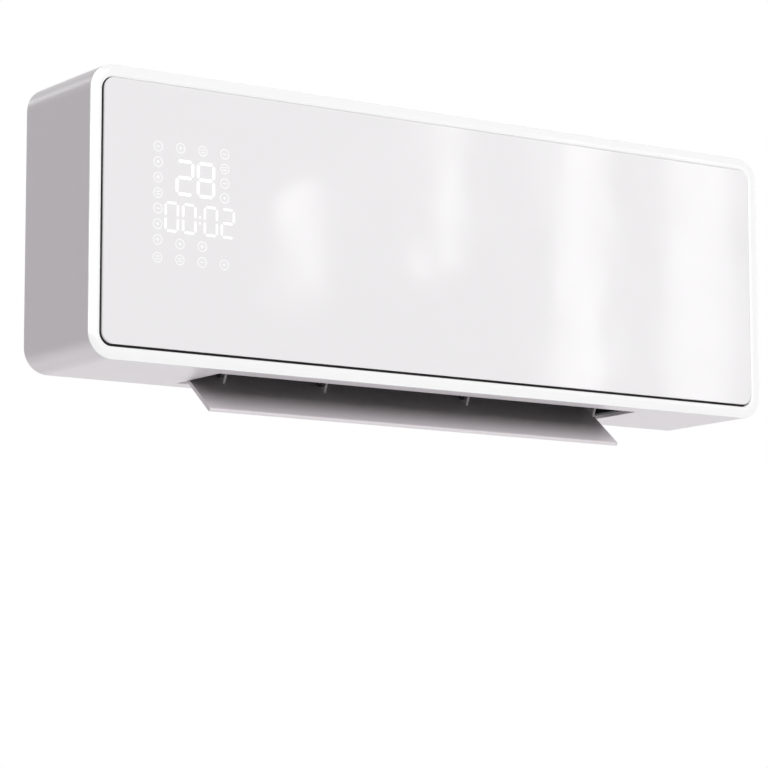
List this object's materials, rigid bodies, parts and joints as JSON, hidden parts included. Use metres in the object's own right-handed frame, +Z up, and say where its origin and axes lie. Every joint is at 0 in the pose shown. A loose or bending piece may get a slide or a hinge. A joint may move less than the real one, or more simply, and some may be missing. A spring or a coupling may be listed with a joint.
{
  "type": "wall-mounted bathroom fan heater",
  "caption": "Slim wall fan heater: white casing on a steel hook bracket, glossy pane with a lit display, tangential fan over a ceramic heater, swinging outlet flap underneath.",
  "frame": {"origin": "centre of the four wall screws of the bracket, on the wall plane", "axes": "+X to the right as seen from the room, +Y into the wall, +Z up"},
  "size_m": [0.5555, 0.086, 0.2129],
  "materials": {
    "casing_white": "satin white ABS moulding",
    "cover_white": "fine-grained white moulding",
    "frame_white": "bright glossy white moulding",
    "pane_glass": "glossy pale pane, opaque white behind the clear face",
    "tape_grey": "grey adhesive foam tape",
    "window_glow": "lit white display inlay",
    "guide_white": "opaque white light guide",
    "board_green": "green solder-masked circuit board",
    "led_body": "pale lamp body",
    "screw_steel": "zinc-plated steel",
    "bracket_steel": "galvanised steel sheet",
    "black_plastic": "black heat-resistant moulding",
    "black_part": "black glossy part",
    "grey_plastic": "grey moulding",
    "grille_white": "satin white moulding",
    "mesh_grey": "grey nylon filter mesh on its rim",
    "plate_steel": "galvanised steel sheet",
    "fan_plastic": "dark glass-filled plastic",
    "bronze": "oil-filled sintered bronze",
    "rubber_black": "black rubber",
    "shaft_steel": "ground steel",
    "core_steel": "laminated electrical steel",
    "winding_copper": "enamelled copper wire",
    "motor_steel": "pressed steel motor shell",
    "fin_aluminium": "bare aluminium",
    "stone_ceramic": "dark ceramic heating stone",
    "terminal_brass": "tinned brass blade",
    "cutout_ceramic": "pale ceramic disc thermostat",
    "flap_white": "satin white moulding",
    "relay_blue": "blue sealed relay case",
    "supply_yellow": "yellow taped transformer",
    "socket_ivory": "ivory connector",
    "terminal_white": "white terminal moulding",
    "lead_brown": "brown insulated wire",
    "lead_red": "red silicone wire",
    "lead_black": "black insulated wire",
    "lead_grey": "grey insulated wire"
  },
  "bodies": {
    "chassis": {"wall_bracket": "bracket_steel", "rear_cover": "cover_white", "main_casing": "casing_white", "front_frame": "frame_white", "front_panel": "pane_glass", "panel_tape": "tape_grey", "digit_windows": "window_glow", "icon_windows": "window_glow", "light_guide": "guide_white", "display_board": "board_green", "display_leds": "led_body", "display_screws": "screw_steel", "ir_receiver": "black_part", "left_end_plate": "plate_steel", "right_end_plate": "plate_steel", "fan_scroll": "plate_steel", "fan_front_guide": "plate_steel", "fan_bearing": "bronze", "bearing_holder": "rubber_black", "motor_stator": "core_steel", "motor_windings": "winding_copper", "motor_housing": "motor_steel", "motor_mounts": "rubber_black", "heater_frame": "black_plastic", "ptc_bars": "fin_aluminium", "ptc_stones": "stone_ceramic", "heater_fins": "fin_aluminium", "heater_terminals": "terminal_brass", "thermal_cutout": "cutout_ceramic", "thermal_fuse": "cutout_ceramic", "air_duct": "black_plastic", "outlet_grille": "grey_plastic", "flap_motor": "motor_steel", "control_board": "board_green", "relays": "relay_blue", "power_supply": "supply_yellow", "board_capacitors": "black_part", "buzzer": "black_part", "board_sockets": "socket_ivory", "room_sensor": "black_part", "terminal_block": "terminal_white", "cord_grommet": "grille_white", "switch_housing": "black_part", "casing_screws": "screw_steel", "chassis_screws": "screw_steel", "supply_leads": "lead_brown", "heater_leads": "lead_red", "motor_leads": "lead_black", "display_lead": "lead_grey"},
    "flap": {"outlet_flap": "flap_white", "flap_drive_shaft": "shaft_steel"},
    "fan": {"fan_wheel": "fan_plastic", "fan_stub_axle": "shaft_steel", "fan_drive_hub": "rubber_black", "motor_rotor": "shaft_steel"},
    "filter": {"intake_grille": "grille_white", "filter_mesh": "mesh_grey"},
    "rocker": {"switch_rocker": "black_part"}
  },
  "joints": [
    {"name": "flap_swing", "type": "hinge", "parent": "chassis", "child": "flap", "pos_m": [0, -0.0289, -0.0865], "axis": [1, 0, 0], "range_deg": [-39.2, 40.5]},
    {"name": "fan_spin", "type": "hinge", "parent": "chassis", "child": "fan", "pos_m": [0, -0.047, 0.038], "axis": [1, 0, 0], "continuous": true},
    {"name": "filter_lift", "type": "slide", "parent": "chassis", "child": "filter", "axis": [0, 0, 1], "range_m": [0, 0.03]},
    {"name": "switch_rock", "type": "hinge", "parent": "chassis", "child": "rocker", "pos_m": [0.2748, -0.03, -0.034], "axis": [0, 1, 0], "range_deg": [-16, 0]}
  ]
}
